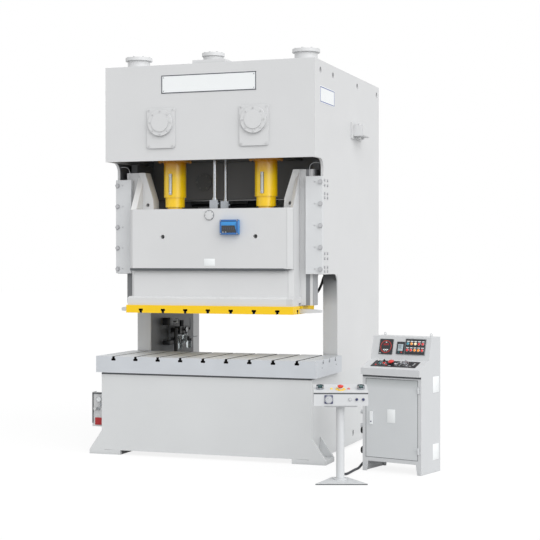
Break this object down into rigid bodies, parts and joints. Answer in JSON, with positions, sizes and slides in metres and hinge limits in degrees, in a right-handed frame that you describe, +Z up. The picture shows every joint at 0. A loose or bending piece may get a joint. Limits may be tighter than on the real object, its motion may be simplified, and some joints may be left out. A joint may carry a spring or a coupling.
{
  "type": "mechanical stamping press",
  "caption": "Gap-frame stamping press with two guided plungers driving a wide slide over a slotted bolster, with a two-hand stand and a control desk.",
  "frame": {"origin": "on the floor, under the middle of the whole installation", "axes": "+Z up, -Y towards the operator, +X to the operator's right as they face the press"},
  "size_m": [3.7602, 3.7227, 4.1841],
  "materials": {
    "machine_grey": "semi-gloss paint",
    "machine_grey_light": "semi-gloss paint",
    "ground_steel": "ground steel",
    "bright_steel": "bright",
    "zinc_bolts": "zinc plated",
    "bronze": "machined bronze",
    "safety_yellow": "gloss paint",
    "plate_white": "gloss enamel",
    "cast_dark": "as cast",
    "counter_blue": "gloss",
    "motor_paint": "paint",
    "belt_rubber": "matt",
    "clear_bowl": "clear",
    "black_plastic": "satin",
    "lamp_lens": "translucent",
    "cord_grey": "matt",
    "stop_red": "gloss",
    "start_teal": "gloss",
    "button_navy": "gloss",
    "oil_glass": "clear"
  },
  "bodies": {
    "press": {"base": "machine_grey", "column_left": "machine_grey", "column_right": "machine_grey", "crown": "machine_grey", "gear_housing": "machine_grey", "bolster": "ground_steel", "gib_left": "machine_grey_light", "gib_right": "machine_grey_light", "guide_liners": "bronze", "frame_bolts": "zinc_bolts", "bearing_covers": "machine_grey_light", "top_caps": "machine_grey_light", "name_plates": "plate_white", "encoder_box": "machine_grey_light", "plunger_guide_left": "safety_yellow", "plunger_guide_right": "safety_yellow", "balancer_cylinders": "cast_dark", "flywheel_guard": "machine_grey", "motor": "motor_paint", "drive_belts": "belt_rubber", "air_unit": "cast_dark", "air_bowls": "clear_bowl", "air_panel": "machine_grey_light", "desk_cabinet": "machine_grey_light", "desk_panels": "black_plastic", "desk_lamps": "lamp_lens", "stand": "machine_grey_light", "stand_cord": "cord_grey"},
    "suspension": {"plungers": "bright_steel", "oil_gauges": "oil_glass"},
    "slide": {"slide": "machine_grey_light", "slide_plate": "safety_yellow", "height_counter": "counter_blue", "balancer_rods": "bright_steel"},
    "knockout": {"knockout_bar": "ground_steel"},
    "crank_left": {"crankshaft_left": "ground_steel", "main_gear_left": "cast_dark"},
    "crank_right": {"crankshaft_right": "ground_steel", "main_gear_right": "cast_dark"},
    "rod_left": {"connecting_rod_left": "cast_dark"},
    "rod_right": {"connecting_rod_right": "cast_dark"},
    "pinion": {"pinion_shaft": "ground_steel"},
    "flywheel": {"flywheel": "cast_dark"},
    "motor_pulley": {"motor_pulley": "cast_dark"},
    "desk_door": {"desk_door": "machine_grey_light"},
    "door_handle": {"door_handle": "bright_steel"},
    "desk_stop": {"desk_stop": "stop_red"},
    "start_button": {"start_button": "start_teal"},
    "stop_button": {"stop_button": "stop_red"},
    "mode_selector": {"mode_selector": "black_plastic"},
    "rotary_switch": {"rotary_switch": "bright_steel"},
    "palm_button_left": {"palm_button_left": "start_teal"},
    "palm_button_right": {"palm_button_right": "start_teal"},
    "stand_stop": {"stand_stop": "stop_red"},
    "cam_switch": {"cam_switch": "bright_steel"},
    "run_button": {"run_button": "button_navy"},
    "inch_button": {"inch_button": "button_navy"},
    "valve_lever": {"valve_lever": "stop_red"},
    "regulator_knob": {"regulator_knob": "black_plastic"}
  },
  "joints": [
    {"name": "stroke", "type": "slide", "parent": "press", "child": "suspension", "axis": [0, 0, 1], "range_m": [0, 0.25]},
    {"name": "height_adjustment", "type": "slide", "parent": "suspension", "child": "slide", "axis": [0, 0, 1], "range_m": [-0.12, 0]},
    {"name": "knockout", "type": "slide", "parent": "slide", "child": "knockout", "axis": [0, 0, 1], "range_m": [0, 0.058]},
    {"name": "crank_left", "type": "hinge", "parent": "press", "child": "crank_left", "pos_m": [-1.047, -0.293, 3.436], "axis": [0, 1, 0], "range_deg": [0, 180.01]},
    {"name": "crank_right", "type": "hinge", "parent": "press", "child": "crank_right", "pos_m": [-0.027, -0.293, 3.436], "axis": [0, 1, 0], "range_deg": [-180.01, 0]},
    {"name": "rod_left", "type": "hinge", "parent": "crank_left", "child": "rod_left", "pos_m": [-1.047, -0.293, 3.311], "axis": [0, 1, 0], "range_deg": [-180.01, 0]},
    {"name": "rod_right", "type": "hinge", "parent": "crank_right", "child": "rod_right", "pos_m": [-0.027, -0.293, 3.311], "axis": [0, 1, 0], "range_deg": [0, 180.01]},
    {"name": "pinion", "type": "hinge", "parent": "press", "child": "pinion", "pos_m": [-0.929, 0.327, 2.87068], "axis": [0, 1, 0], "range_deg": [-1360.1, 0]},
    {"name": "flywheel_spin", "type": "hinge", "parent": "press", "child": "flywheel", "pos_m": [-0.929, 1.48, 2.87068], "axis": [0, 1, 0], "continuous": true},
    {"name": "motor_spin", "type": "hinge", "parent": "press", "child": "motor_pulley", "pos_m": [-0.057, 1.48, 2.68068], "axis": [0, 1, 0], "continuous": true},
    {"name": "desk_door", "type": "hinge", "parent": "press", "child": "desk_door", "pos_m": [1.74939, -1.05759, 0.137], "axis": [0, 0, 1], "range_deg": [0, 48]},
    {"name": "door_handle", "type": "hinge", "parent": "desk_door", "child": "door_handle", "pos_m": [1.26392, -0.91819, 0.54], "axis": [0.2588, 0.9659, 0], "range_deg": [0, 90]},
    {"name": "desk_stop", "type": "slide", "parent": "press", "child": "desk_stop", "axis": [0.095, 0.3547, -0.9302], "range_m": [0, 0.005], "stiffness_N_per_m": 900, "springref_m": -0.002},
    {"name": "start_button", "type": "slide", "parent": "press", "child": "start_button", "axis": [0.095, 0.3547, -0.9302], "range_m": [0, 0.0035], "stiffness_N_per_m": 500, "springref_m": -0.002},
    {"name": "stop_button", "type": "slide", "parent": "press", "child": "stop_button", "axis": [0.095, 0.3547, -0.9302], "range_m": [0, 0.0035], "stiffness_N_per_m": 500, "springref_m": -0.002},
    {"name": "mode_selector", "type": "hinge", "parent": "press", "child": "mode_selector", "pos_m": [1.37618, -0.85472, 1.04067], "axis": [-0.095, -0.3547, 0.9302], "range_deg": [-45, 45]},
    {"name": "rotary_switch", "type": "hinge", "parent": "press", "child": "rotary_switch", "pos_m": [1.60464, -0.94868, 1.02819], "axis": [-0.095, -0.3547, 0.9302], "range_deg": [-60, 60]},
    {"name": "palm_button_left", "type": "slide", "parent": "press", "child": "palm_button_left", "axis": [-0.0689, 0.2002, -0.9773], "range_m": [0, 0.0045], "stiffness_N_per_m": 500, "springref_m": -0.002},
    {"name": "palm_button_right", "type": "slide", "parent": "press", "child": "palm_button_right", "axis": [-0.0689, 0.2002, -0.9773], "range_m": [0, 0.0045], "stiffness_N_per_m": 500, "springref_m": -0.002},
    {"name": "stand_stop", "type": "slide", "parent": "press", "child": "stand_stop", "axis": [-0.0689, 0.2002, -0.9773], "range_m": [0, 0.005], "stiffness_N_per_m": 900, "springref_m": -0.002},
    {"name": "cam_switch", "type": "hinge", "parent": "press", "child": "cam_switch", "pos_m": [1.07312, -1.7126, 0.758], "axis": [0.3256, -0.9455, 0], "range_deg": [-90, 90]},
    {"name": "run_button", "type": "slide", "parent": "press", "child": "run_button", "axis": [-0.3256, 0.9455, 0], "range_m": [0, 0.004], "stiffness_N_per_m": 500, "springref_m": -0.002},
    {"name": "inch_button", "type": "slide", "parent": "press", "child": "inch_button", "axis": [-0.3256, 0.9455, 0], "range_m": [0, 0.004], "stiffness_N_per_m": 500, "springref_m": -0.002},
    {"name": "valve_lever", "type": "hinge", "parent": "press", "child": "valve_lever", "pos_m": [-1.439, 0.977, 1.23], "axis": [1, 0, 0], "range_deg": [-90, 0]},
    {"name": "regulator_knob", "type": "hinge", "parent": "press", "child": "regulator_knob", "pos_m": [-1.439, 0.807, 1.23], "axis": [0, 0, 1], "range_deg": [0, 1080]}
  ],
  "couplings": [
    {"joint": "crank_left", "follows": "stroke", "rad_per_m": 12.566},
    {"joint": "crank_right", "follows": "stroke", "rad_per_m": -12.566},
    {"joint": "rod_left", "follows": "stroke", "rad_per_m": -12.566},
    {"joint": "rod_right", "follows": "stroke", "rad_per_m": 12.566},
    {"joint": "pinion", "follows": "stroke", "rad_per_m": -94.946},
    {"joint": "motor_spin", "follows": "flywheel_spin", "ratio": 4.2105}
  ]
}
